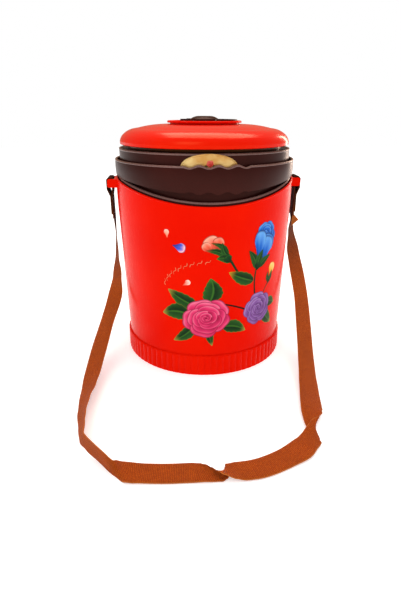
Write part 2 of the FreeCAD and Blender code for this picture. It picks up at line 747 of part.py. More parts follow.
def shoulder_strap():
    """The free webbing: four long faces round the bent path, closed at its ends."""
    places, length = strap_places()
    corners = [[], [], [], []]
    for point, along, across, half in places:
        w = across * half
        n = along.cross(across) * (WEB_THICK / 2)
        section = [point - w - n, point + w - n, point + w + n, point - w + n]
        lift = max(0.0, -min(c.z for c in section))
        for rail, c in zip(corners, section):
            rail.append(c + Vector(0, 0, lift))
    faces = []
    for i in range(4):
        faces += skin((corners[i], corners[(i + 1) % 4]))
    for end in (0, -1):
        loop = [rail[end] for rail in corners]
        faces.append(Part.Face(Part.makePolygon(loop + [loop[0]])))
    shell = Part.Shell(faces)
    shell.sewShape()
    strap = Part.Solid(shell)
    if strap.Volume < 0:
        strap.reverse()
    print("strap volume over section times length: %.3f" % (strap.Volume / (length * WEB_WIDTH * WEB_THICK)))
    return strap


def parts():
    right_lug = strap_lug()
    right_end = strap_end()
    return {
        "outer_shell": outer_shell(),
        "fluted_base": fluted_base(),
        "inner_liner": inner_liner(),
        "foam_jacket": foam_jacket(),
        "strap_lug_right": right_lug,
        "strap_lug_left": mirrored(right_lug),
        "strap_end_right": right_end,
        "strap_end_left": mirrored(right_end),
        "shoulder_strap": shoulder_strap(),
        "lower_tin": tin(LOWER_TIN_Z),
        "lower_tin_lid": tin_lid(LOWER_TIN_Z),
        "lower_tin_seal": tin_seal(LOWER_TIN_Z),
        "middle_tin": tin(MIDDLE_TIN_Z),
        "middle_tin_lid": tin_lid(MIDDLE_TIN_Z),
        "middle_tin_seal": tin_seal(MIDDLE_TIN_Z),
        "top_bowl": top_bowl(),
        "lid_inner_shell": lid_inner_shell(),
        "lid_foam": lid_foam(),
        "lid_seal": lid_seal(),
        "lid_dome": lid_dome(),
        "lid_badge": lid_badge(),
        "top_plate": top_plate(),
        "handle_hub": handle_hub(),
        "pivot_pins": pivot_pins(),
        "hub_screw": hub_screw(),
        "screw_cap": screw_cap(),
        "carry_handle": carry_handle(),
    }


def main():
    os.makedirs(OUT, exist_ok=True)
    for name, shape in parts().items():
        if not shape.isValid():
            print("not valid:", name)
        print("%-18s solids %d volume %.0f" % (name, len(shape.Solids), shape.Volume))
        shape.exportStep(os.path.join(OUT, name + ".step"))


main()
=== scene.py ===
"""Looks of the tiffin carrier: materials for the CAD nodes, the printed flowers, rolled rims, the badge's
emblem, the webbing strap, the camera and the lights. Metres, +Z up, the front towards -Y."""
import math

import bpy
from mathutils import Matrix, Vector


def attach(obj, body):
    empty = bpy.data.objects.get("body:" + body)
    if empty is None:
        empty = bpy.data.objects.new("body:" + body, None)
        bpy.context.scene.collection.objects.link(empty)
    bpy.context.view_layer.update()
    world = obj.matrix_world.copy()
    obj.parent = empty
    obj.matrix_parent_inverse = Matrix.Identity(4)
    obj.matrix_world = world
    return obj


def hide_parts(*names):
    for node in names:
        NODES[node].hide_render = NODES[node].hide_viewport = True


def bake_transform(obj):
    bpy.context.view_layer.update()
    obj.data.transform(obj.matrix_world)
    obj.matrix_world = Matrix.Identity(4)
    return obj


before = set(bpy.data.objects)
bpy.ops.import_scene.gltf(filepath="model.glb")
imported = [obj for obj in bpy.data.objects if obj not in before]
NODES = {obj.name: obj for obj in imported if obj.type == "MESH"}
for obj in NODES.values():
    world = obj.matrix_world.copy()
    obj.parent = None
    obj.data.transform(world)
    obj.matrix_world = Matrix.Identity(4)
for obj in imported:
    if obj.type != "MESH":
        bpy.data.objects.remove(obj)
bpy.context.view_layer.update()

MM = 0.001

# Camera: where it stands about the carrier, in metres and degrees
CAMERA_DISTANCE = 0.484
CAMERA_HEIGHT = 0.248
CAMERA_TURN = 5.0            # degrees it stands to the left of the front
CAMERA_PITCH = 22.6
CAMERA_ROLL = -0.21
FOCAL_LENGTHS = 454 / 601    # focal length over the height of the picture
SHIFT = (-0.0065, 0.0)
GLOSSY_WORLD = (0.40, 0.26, 0.17)    # what the surroundings look like in a gloss: dim and warm

# Places on the CAD model that the drawn pieces follow, in mm
SHELL_LOW = (84.5, 22.0)
SHELL_KNEE = (89.7, 161.0)
SHELL_TOP_R = 90.0
RIM_FRONT_Z = 170.5
SCOOP_R = 251.0
LINER_STAND = 3.2
LINER_RIM_R = 86.5
SKIRT_TOP = (88.5, 204.3)
WAVE_AZIMUTH = 3.0
WAVE_PITCH = 16.4
WAVE_LOBES = 3
WAVE_DEPTH = 1.2
RING_R = 85.0
RING_TOP_Z = 215.0
NECK_TOP_Z = 218.3
BADGE_AZIMUTH = -2.0
BADGE_Z = 204.6
BADGE_HALF = (24.5, 10.6)
BADGE_FACE_R = 86.0

# Radii of the beads on the rims and the badge, and how far in from an edge they run, in mm
SHELL_LIP = 1.05
LINER_LIP = 1.15
SKIRT_LIP = 1.1
RING_LIP = 1.1
BADGE_BEAD = 0.55
LIP_INSET = 1.0
EDGE_INSET = 0.8
LIP_STRETCH = 1.1            # a lip's width away from the axis over its height

# Printed flowers: the radius along which their places are measured, in mm
PRINT_R = 88.0

# Webbing, in mm
WEB_WIDTH = 20.0
WEB_THICK = 1.1
RIB_PITCH = 1.3
ROW_HEIGHT = 0.85
FURROW_WIDTH = 0.17
SELVEDGE = (9.0, 9.8)        # from the middle line outwards
# Painted shade: the strap darkens towards either end, and its hanging ends darken towards the lugs, where
# they sit in shade.
PAINTED_SHADE_END = (25.0, 95.0)      # along the strap from either end
PAINTED_SHADE_LUG_Z = (146.0, 160.0)  # up the ends that hang under the lugs
STRAP_LENGTH = 815.0
TAIL = ((95.2, -3.0, 148.0), (102.6, -4.0, 140.0), (95.6, -2.0, 133.0))
# The strap's route from the left lug round the front to the right lug: control points of its middle line,
# each with the direction across the webbing there, from its back edge to its front edge. A third value is
# half the length of a slanting section, at the folds.
STRAP_ROUTE = [
    ((-94.8, 0.0, 168.0), (0.0, -1.0, 0.0)),
    ((-94.5, 0.0, 150.0), (0.0, -1.0, 0.0)),
    ((-93.8, 0.0, 128.0), (0.1, -1.0, 0.0)),
    ((-94.5, -1.0, 105.0), (0.25, -1.0, 0.0)),
    ((-95.5, -5.0, 82.0), (0.5, -0.85, 0.0)),
    ((-98.5, -14.0, 60.0), (0.8, -0.6, 0.1)),
    ((-107.5, -34.0, 38.5), (0.8, -0.5, 0.3)),
    ((-113.5, -60.0, 22.0), (0.85, -0.4, 0.3)),
    ((-117.0, -88.0, 11.5), (0.85, -0.3, 0.4)),
    ((-118.0, -115.0, 8.0), (0.75, -0.1, 0.6)),
    ((-118.5, -140.0, 9.0), (0.6, 0.0, 0.8)),
    ((-116.0, -163.0, 9.7), (0.4, 0.0, 0.9)),
    ((-113.5, -178.0, 9.7), (0.3, 0.0, 0.95)),
    ((-110.5, -190.0, 9.8), (0.0, 0.0, 1.0), 8.0),
    ((-97.0, -206.0, 9.8), (0.0, -0.2, 1.0), 9.5),
    ((-84.0, -220.0, 7.0), (-0.2, 0.4, 0.9), 6.5),
    ((-78.0, -217.5, 2.5), (-0.3, 0.95, 0.1), 10.5),
    ((-66.0, -218.5, 1.2), (0.0, 1.0, 0.0)),
    ((-46.0, -220.5, 1.0), (0.0, 1.0, 0.0)),
    ((-30.0, -221.0, 1.2), (0.0, 1.0, 0.0)),
    ((-20.5, -221.5, 1.4), (-0.25, 0.95, 0.0), 10.0),
    ((-12.0, -224.0, 2.5), (-0.55, 0.8, 0.15), 9.5),
    ((-7.5, -225.5, 3.0), (-0.75, 0.55, 0.35), 7.0),
    ((-5.5, -224.5, 3.5), (-0.85, -0.1, 0.5), 6.0),
    ((-4.0, -223.5, 3.5), (-0.1, -0.9, 0.4), 8.0),
    ((1.5, -223.0, 2.0), (0.3, -0.95, 0.1), 9.5),
    ((8.5, -223.0, 1.5), (0.3, -0.95, 0.0), 10.0),
    ((24.0, -221.5, 1.4), (0.25, -0.95, 0.0)),
    ((44.0, -213.0, 1.2), (0.35, -0.95, 0.0)),
    ((61.0, -204.0, 2.5), (0.4, -0.9, 0.0), 11.0),
    ((67.5, -197.0, 2.5), (0.6, -0.8, 0.0), 9.5),
    ((72.5, -192.0, 2.5), (0.6, -0.75, -0.1), 9.0),
    ((77.5, -184.0, 3.5), (0.2, -0.9, -0.3), 9.0),
    ((79.5, -177.0, 4.5), (-0.6, -0.65, -0.3), 9.5),
    ((80.5, -168.0, 4.5), (-0.9, -0.35, -0.1), 10.0),
    ((84.5, -149.0, 4.5), (-0.95, -0.2, 0.2)),
    ((90.0, -125.0, 5.0), (-0.95, -0.1, 0.3)),
    ((95.0, -100.0, 10.8), (-0.9, -0.1, 0.4)),
    ((99.5, -76.0, 21.0), (-0.9, -0.2, 0.4)),
    ((103.8, -50.0, 36.5), (-0.9, -0.3, 0.3)),
    ((106.8, -26.0, 56.5), (-0.87, -0.4, 0.2)),
    ((105.0, -10.5, 78.5), (-0.85, -0.5, 0.0)),
    ((99.5, -2.5, 104.0), (-0.8, -0.6, 0.0)),
    ((95.5, 0.0, 128.0), (-0.5, -0.85, 0.0)),
    ((94.8, 0.0, 150.0), (-0.1, -1.0, 0.0)),
    ((94.8, 0.0, 168.0), (0.0, -1.0, 0.0)),
]


# ---------------------------------------------------------------- materials

def color_mixer(tree):
    """A node that mixes two colours: its factor, its two colour inputs and its output."""
    mixer = tree.nodes.new("ShaderNodeMix")
    mixer.data_type = "RGBA"
    first, second = [socket for socket in mixer.inputs if socket.type == "RGBA"]
    result = [socket for socket in mixer.outputs if socket.type == "RGBA"][0]
    return mixer.inputs["Factor"], first, second, result


class Shader:
    """A node material with a Principled shader and short ways to add nodes."""

    def __init__(self, name, color, roughness, **sockets):
        self.material = bpy.data.materials.new(name)
        self.material.use_nodes = True
        self.tree = self.material.node_tree
        self.bsdf = self.tree.nodes["Principled BSDF"]
        self.bsdf.inputs["Base Color"].default_value = (*color, 1)
        self.bsdf.inputs["Roughness"].default_value = roughness
        for socket, value in sockets.items():
            self.bsdf.inputs[socket.replace("_", " ")].default_value = value

    def node(self, kind, **settings):
        made = self.tree.nodes.new(kind)
        for key, value in settings.items():
            setattr(made, key, value)
        return made

    def link(self, source, target):
        self.tree.links.new(source, target)

    def coordinates(self, kind="Object"):
        return self.node("ShaderNodeTexCoord").outputs[kind]

    def scaled(self, vector, scale):
        mapping = self.node("ShaderNodeMapping")
        mapping.inputs["Scale"].default_value = scale
        self.link(vector, mapping.inputs["Vector"])
        return mapping.outputs["Vector"]

    def noise(self, vector, scale, detail=2.0, roughness=0.5):
        noise = self.node("ShaderNodeTexNoise")
        noise.inputs["Scale"].default_value = scale
        noise.inputs["Detail"].default_value = detail
        noise.inputs["Roughness"].default_value = roughness
        self.link(vector, noise.inputs["Vector"])
        return noise.outputs["Fac"]

    def ranged(self, value, low, high, start=0.0, end=1.0):
        mapped = self.node("ShaderNodeMapRange")
        mapped.inputs["From Min"].default_value = start
        mapped.inputs["From Max"].default_value = end
        mapped.inputs["To Min"].default_value = low
        mapped.inputs["To Max"].default_value = high
        self.link(value, mapped.inputs["Value"])
        return mapped.outputs["Result"]

    def mixed(self, factor, first, second):
        amount, *targets, result = color_mixer(self.tree)
        for target, value in zip(targets, (first, second)):
            if isinstance(value, bpy.types.NodeSocket):
                self.link(value, target)
            else:
                target.default_value = (*value, 1)
        self.link(factor, amount)
        return result

    def maths(self, operation, first, second):
        made = self.node("ShaderNodeMath", operation=operation)
        for i, value in enumerate((first, second)):
            if isinstance(value, bpy.types.NodeSocket):
                self.link(value, made.inputs[i])
            else:
                made.inputs[i].default_value = value
        return made.outputs["Value"]

    def bump(self, height, strength, distance):
        bump = self.node("ShaderNodeBump")
        bump.inputs["Strength"].default_value = strength
        bump.inputs["Distance"].default_value = distance
        self.link(height, bump.inputs["Height"])
        self.link(bump.outputs["Normal"], self.bsdf.inputs["Normal"])

    def color(self, socket):
        self.link(socket, self.bsdf.inputs["Base Color"])

    def roughness(self, socket):
        self.link(socket, self.bsdf.inputs["Roughness"])


def moulded(name, color, deep, roughness, grain=900.0, bump=0.05, **sockets):
    """Moulded plastic: a faint drift of colour, a fine skin and hairline wear in its gloss."""
    s = Shader(name, color, roughness, **sockets)
    at = s.coordinates()
    drift = s.ranged(s.noise(at, 14.0, 3.0), 0.0, 1.0, 0.35, 0.65)
    s.color(s.mixed(drift, color, deep))
    hairs = s.noise(s.scaled(at, (1.0, 1.0, 0.06)), 1600.0, 2.0)
    worn = s.ranged(hairs, roughness - 0.03, roughness + 0.09, 0.45, 0.8)
    s.roughness(worn)
    s.bump(s.noise(at, grain, 2.0), bump, 0.0002)
    return s.material


def red_plastic(name, roughness=0.24, ior=1.15):
    return moulded(name, (0.72, 0.0065, 0.0004), (0.67, 0.004, 0.0003), roughness, bump=0.02,
                   IOR=ior, Specular_IOR_Level=0.45, Specular_Tint=(1.0, 0.36, 0.10, 1))


def dome_plastic():
    """The lid's red, with the neck under the dome in a near-black brown: brown as the inner shell it is taken
    to be, darkened as painted shade of the gap under the dome.
    """
    material = red_plastic("red_plastic_dome", 0.22, 1.5)
    tree = material.node_tree
    base = tree.nodes["Principled BSDF"].inputs["Base Color"]
    red = base.links[0].from_socket
    split = tree.nodes.new("ShaderNodeSeparateXYZ")
    tree.links.new(tree.nodes["Texture Coordinate"].outputs["Object"], split.inputs["Vector"])
    above = tree.nodes.new("ShaderNodeMapRange")
    above.inputs["From Min"].default_value = NECK_TOP_Z * MM
    above.inputs["From Max"].default_value = (NECK_TOP_Z + 0.2) * MM
    tree.links.new(split.outputs["Z"], above.inputs["Value"])
    # Painted shade: below the neck's top the colour turns to a near-black brown, standing for the shade in
    # the gap under the dome.
    amount, below, over, result = color_mixer(tree)
    tree.links.new(above.outputs["Result"], amount)
    below.default_value = (0.012, 0.003, 0.0025, 1)
    tree.links.new(red, over)
    tree.links.new(result, base)
    return material


def brown_plastic(name, roughness=0.34):
    return moulded(name, (0.032, 0.0055, 0.0045), (0.020, 0.0034, 0.0028), roughness, grain=1400.0, bump=0.08,
                   IOR=1.2, Specular_IOR_Level=0.6, Specular_Tint=(1.0, 0.6, 0.5, 1))


def steel(name, streaks, roughness=0.28):
    """Drawn steel with streaks that run round it."""
    s = Shader(name, (0.62, 0.61, 0.59), roughness, Metallic=1.0)
    lines = s.noise(s.scaled(s.coordinates(), streaks), 60.0, 4.0, 0.7)
    s.color(s.mixed(lines, (0.36, 0.355, 0.34), (0.58, 0.57, 0.55)))
    s.roughness(s.ranged(lines, roughness - 0.08, roughness + 0.14))
    s.bump(lines, 0.08, 0.0002)
    return s.material


def foam():
    """Cut insulation foam: pale, matt and full of small cells."""
    s = Shader("foam", (0.80, 0.70, 0.46), 0.9, Sheen_Weight=0.2)
    at = s.coordinates()
    cells = s.node("ShaderNodeTexVoronoi")
    cells.inputs["Scale"].default_value = 900.0
    s.link(at, cells.inputs["Vector"])
    s.color(s.mixed(s.noise(at, 60.0, 4.0), (0.70, 0.58, 0.34), (0.86, 0.78, 0.55)))
    s.bump(cells.outputs["Distance"], 0.5, 0.0006)
    return s.material


def silicone():
    s = Shader("silicone", (0.80, 0.79, 0.74), 0.5, Subsurface_Weight=0.2, Subsurface_Scale=0.002)
    at = s.coordinates()
    s.color(s.mixed(s.noise(at, 80.0, 3.0), (0.72, 0.71, 0.66), (0.86, 0.85, 0.80)))
    s.bump(s.noise(at, 700.0, 2.0), 0.1, 0.0003)
    return s.material


def gold(name):
    """Lacquered gold: brushed across, warmer where it is worn."""
    s = Shader(name, (0.70, 0.44, 0.16), 0.34, Metallic=0.7, Specular_IOR_Level=0.3)
    at = s.coordinates()
    brush = s.noise(s.scaled(at, (0.06, 0.06, 1.0)), 2200.0, 3.0)
    warm = s.noise(at, 90.0, 3.0)
    s.color(s.mixed(s.ranged(warm, 0.0, 1.0, 0.35, 0.65), (0.78, 0.58, 0.24), (0.62, 0.34, 0.09)))
    s.roughness(s.ranged(brush, 0.26, 0.46))
    s.bump(brush, 0.12, 0.0002)
    return s.material


def webbing(name, hanging=False):
    """Woven strap: ribs across it, warp lines along it, a paler selvedge and painted shade that darkens it
    towards its ends.
    It reads the strap's own UV in metres, along and then across from one edge. Hanging webbing has no UV: it
    runs down Z and lies across Y."""
    s = Shader(name, (0.36, 0.07, 0.01), 0.75, Sheen_Weight=0.02, Specular_IOR_Level=0.06)
    if hanging:
        place = s.node("ShaderNodeSeparateXYZ")
        s.link(s.coordinates(), place.inputs["Vector"])
        laid = s.node("ShaderNodeCombineXYZ")
        s.link(place.outputs["Z"], laid.inputs["X"])
        s.link(s.maths("ADD", place.outputs["Y"], WEB_WIDTH / 2 * MM), laid.inputs["Y"])
        uv = laid.outputs["Vector"]
    else:
        uv = s.coordinates("UV")
    weave = s.node("ShaderNodeTexBrick", offset=0.5, offset_frequency=2)
    weave.inputs["Scale"].default_value = 1.0
    weave.inputs["Brick Width"].default_value = RIB_PITCH * MM
    weave.inputs["Row Height"].default_value = ROW_HEIGHT * MM
    weave.inputs["Mortar Size"].default_value = FURROW_WIDTH * MM
    weave.inputs["Mortar Smooth"].default_value = 1.0
    weave.inputs["Color1"].default_value = (0.58, 0.100, 0.006, 1)
    weave.inputs["Color2"].default_value = (0.44, 0.068, 0.004, 1)
    weave.inputs["Mortar"].default_value = (0.10, 0.014, 0.002, 1)
    s.link(uv, weave.inputs["Vector"])
    split = s.node("ShaderNodeSeparateXYZ")
    s.link(uv, split.inputs["Vector"])
    patches = s.ranged(s.noise(s.coordinates(), 45.0, 3.0), 0.0, 0.35, 0.4, 0.75)
    toned = s.mixed(patches, weave.outputs["Color"], (0.25, 0.043, 0.005))
    middle = s.maths("SUBTRACT", split.outputs["Y"], WEB_WIDTH / 2 * MM)
    edge = s.ranged(s.maths("ABSOLUTE", middle, 0.0), 0.0, 0.8, SELVEDGE[0] * MM, SELVEDGE[1] * MM)
    ribs = s.maths("SINE", s.maths("MULTIPLY", split.outputs["X"], 2 * math.pi / (RIB_PITCH * MM)), 0.0)
    furrows = s.mixed(s.ranged(ribs, 0.0, 0.55, -0.3, -1.0), toned, (0.085, 0.012, 0.002))
    woven = s.mixed(edge, furrows, (0.50, 0.15, 0.03))
    # Painted shade: the colour is darkened towards the strap's ends and up the hanging ends towards the lugs.
    if hanging:
        dark = s.ranged(split.outputs["X"], 0.72, 0.9, PAINTED_SHADE_LUG_Z[0] * MM, PAINTED_SHADE_LUG_Z[1] * MM)
    else:
        to_far_end = s.maths("SUBTRACT", STRAP_LENGTH * MM, split.outputs["X"])
        from_end = s.maths("MINIMUM", split.outputs["X"], to_far_end)
        dark = s.ranged(from_end, 0.86, 0.0, PAINTED_SHADE_END[0] * MM, PAINTED_SHADE_END[1] * MM)
    s.color(s.mixed(dark, woven, (0.008, 0.002, 0.0015)))
    fibres = s.noise(s.scaled(uv, (1.0, 0.25, 1.0)), 5200.0, 2.0)
    height = s.maths("ADD", s.maths("MULTIPLY", ribs, 0.35), s.maths("MULTIPLY", weave.outputs["Fac"], -0.9))
    height = s.maths("ADD", height, s.maths("MULTIPLY", fibres, 0.5))
    s.bump(height, 0.7, 0.0004)
    return s.material


def painted(name, roughness=0.3):
    """Printed film: the colours drawn on the mesh, with a fine print grain."""
    s = Shader(name, (0.8, 0.3, 0.3), roughness, IOR=1.15, Specular_IOR_Level=0.45)
    ink = s.node("ShaderNodeVertexColor", layer_name="ink").outputs["Color"]
    grain = s.ranged(s.noise(s.coordinates(), 1500.0, 2.0), 0.0, 0.08, 0.4, 0.7)
    s.color(s.mixed(grain, ink, (0.10, 0.03, 0.03)))
    s.bump(s.noise(s.coordinates(), 900.0, 2.0), 0.03, 0.0002)
    return s.material


def plain_floor():
    s = Shader("floor", (0.93, 0.93, 0.93), 0.8, Specular_IOR_Level=0.1, Emission_Color=(1, 1, 1, 1),
               Emission_Strength=0.35)
    s.color(s.mixed(s.noise(s.coordinates(), 3.0, 2.0), (0.92, 0.92, 0.92), (0.94, 0.94, 0.94)))
    return s.material


RED = red_plastic("red_plastic")
RED_DOME = dome_plastic()
BROWN = brown_plastic("brown_plastic")
# The brown lips: a brown much lighter than the brown plastic, a painted highlight along the rolled edges.
BROWN_LIP_HIGHLIGHT = moulded("brown_lip_highlight", (0.15, 0.072, 0.062), (0.10, 0.045, 0.038), 0.3, grain=1400.0, bump=0.06)
WEBBING = webbing("webbing")
GOLD = gold("gold_badge")
INK = painted("printed_flowers")

NODE_MATERIALS = {
    RED: ("outer_shell", "strap_lug_right", "strap_lug_left", "top_plate", "fluted_base"),
    RED_DOME: ("lid_dome",),
    BROWN: ("inner_liner", "top_bowl", "lid_inner_shell", "handle_hub", "screw_cap", "carry_handle"),
    steel("tin_steel", (0.05, 0.05, 1.0)): ("lower_tin", "middle_tin"),
    steel("pin_steel", (1.0, 1.0, 0.1), 0.2): ("pivot_pins", "hub_screw"),
    brown_plastic("tin_lid_plastic", 0.5): ("lower_tin_lid", "middle_tin_lid"),
    silicone(): ("lower_tin_seal", "middle_tin_seal", "lid_seal"),
    foam(): ("foam_jacket", "lid_foam"),
    GOLD: ("lid_badge",),
    WEBBING: ("shoulder_strap",),
    # The hanging ends take a copy of the webbing darkened as painted shade.
    webbing("webbing_end_painted_shade", hanging=True): ("strap_end_right", "strap_end_left"),
}
for material, names in NODE_MATERIALS.items():
    for name in names:
        for material_slot in NODES[name].material_slots:
            material_slot.material = material


# ---------------------------------------------------------------- mesh helpers

def add_mesh(name, verts, faces, material, smooth=True):
    mesh = bpy.data.meshes.new(name)
    mesh.from_pydata([tuple(v) for v in verts], [], faces)
    mesh.materials.append(material)
    mesh.polygons.foreach_set("use_smooth", [smooth] * len(mesh.polygons))
    mesh.update()
    obj = bpy.data.objects.new(name, mesh)
    bpy.context.scene.collection.objects.link(obj)
    return obj


def belongs(obj, body):
    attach(obj, body)
    return obj


def bead(name, points, radius, material, sides=10, stretch=1.0):
    """A round bead along a closed loop of points, stretched away from the carrier's axis."""
    verts, faces = [], []
    count = len(points)
    for i, p in enumerate(points):
        along = (points[(i + 1) % count] - points[i - 1]).normalized()
        out = Vector((p.x, p.y, 0)).normalized()
        up = along.cross(out).normalized()
        out = up.cross(along).normalized()
        for k in range(sides):
            a = 2 * math.pi * k / sides
            verts.append(p + out * (radius * stretch * math.cos(a)) + up * (radius * math.sin(a)))
    for i in range(count):
        for k in range(sides):
            a, b = i * sides + k, i * sides + (k + 1) % sides
            c, d = ((i + 1) % count) * sides + (k + 1) % sides, ((i + 1) % count) * sides + k
            faces.append((a, b, c, d))
    return add_mesh(name, verts, faces, material)


def on_wall(r, azimuth, z):
    """A point at radius r and height z in mm, azimuth in radians from the front towards the right."""
    return Vector((r * math.sin(azimuth), -r * math.cos(azimuth), z)) * MM


def ring_points(r, height, steps=360):
    """Points round the carrier at radius r, at the height that the function gives for an azimuth."""
    turns = [2 * math.pi * i / steps for i in range(steps)]
    return [on_wall(r, a, height(a)) for a in turns]


def scooped(r, front_z, scoop_r):
    """The height of a rim cut by a level cylinder along Y."""
    return lambda a: front_z + scoop_r - math.sqrt(scoop_r ** 2 - (r * math.sin(a)) ** 2)


def waved(r, base, lift, sign):
    """A rim height with the row of finger waves added at the front."""
    reach = (2 * WAVE_LOBES + 1) * WAVE_PITCH / 4

    def height(a):
        x = r * math.sin(a - math.radians(WAVE_AZIMUTH))
        front = math.cos(a) > 0 and abs(x) < reach
        wave = WAVE_DEPTH * math.cos(2 * math.pi * x / WAVE_PITCH) if front else 0.0
        return base(a) + (lift if front else 0.0) + sign * wave
    return height


# ---------------------------------------------------------------- rolled rims

def lip(name, points, radius, material, body):
    belongs(bead(name, points, radius * MM, material, stretch=LIP_STRETCH), body)


def rims():
    """The rolled lips of the shell, the liner, the bowl's skirt and the lid's ring; the brown lips are
    coloured much lighter than the brown plastic as a painted highlight.
    """
    shell_r = SHELL_TOP_R - LIP_INSET
    shell = ring_points(shell_r, scooped(shell_r, RIM_FRONT_Z, SCOOP_R))
    lip("shell_lip", shell, SHELL_LIP, RED, "bucket")
    low = RIM_FRONT_Z + LINER_STAND
    liner = ring_points(LINER_RIM_R, scooped(LINER_RIM_R, low, SCOOP_R - LINER_STAND))
    lip("liner_lip", liner, LINER_LIP, BROWN_LIP_HIGHLIGHT, "bucket")
    top = ring_points(SKIRT_TOP[0], waved(SKIRT_TOP[0], lambda a: SKIRT_TOP[1], 0.0, 1), 720)
    lip("skirt_lip", top, SKIRT_LIP, BROWN_LIP_HIGHLIGHT, "top_bowl")
    ring = ring_points(RING_R - LIP_INSET, lambda a: RING_TOP_Z - EDGE_INSET)
    lip("ring_lip", ring, RING_LIP, BROWN_LIP_HIGHLIGHT, "lid")


# ---------------------------------------------------------------- printed flowers

PINK = ((0.20, 0.002, 0.025), (0.66, 0.03, 0.13), (0.86, 0.22, 0.36))
PURPLE = ((0.035, 0.008, 0.07), (0.20, 0.08, 0.30), (0.46, 0.28, 0.58))
BLUE = ((0.002, 0.012, 0.10), (0.006, 0.11, 0.52), (0.14, 0.40, 0.80))
CORAL = ((0.22, 0.008, 0.004), (0.72, 0.10, 0.05), (0.90, 0.46, 0.32))
RED_INK = ((0.16, 0.004, 0.003), (0.62, 0.03, 0.02), (0.92, 0.40, 0.30))
YELLOW = ((0.55, 0.13, 0.005), (0.92, 0.38, 0.03), (1.0, 0.72, 0.28))
GREEN_DARK = (0.0005, 0.007, 0.003)
GREEN = (0.003, 0.045, 0.010)
GREEN_LIGHT = (0.05, 0.19, 0.02)
LEAF_TIP = (0.42, 0.32, 0.05)


def mix(a, b, t):
    t = min(1.0, max(0.0, t))
    return tuple(x + (y - x) * t for x, y in zip(a, b))


def tone(palette, t):
    """A palette's colour from its deep end at 0 through the middle to its light end at 1."""
    deep, middle, light = palette
    return mix(deep, middle, t * 2) if t < 0.5 else mix(middle, light, t * 2 - 1)


def shell_radius(z):
    low_r, low_z = SHELL_LOW
    knee_r, knee_z = SHELL_KNEE
    return low_r + (knee_r - low_r) * (z - low_z) / (knee_z - low_z)


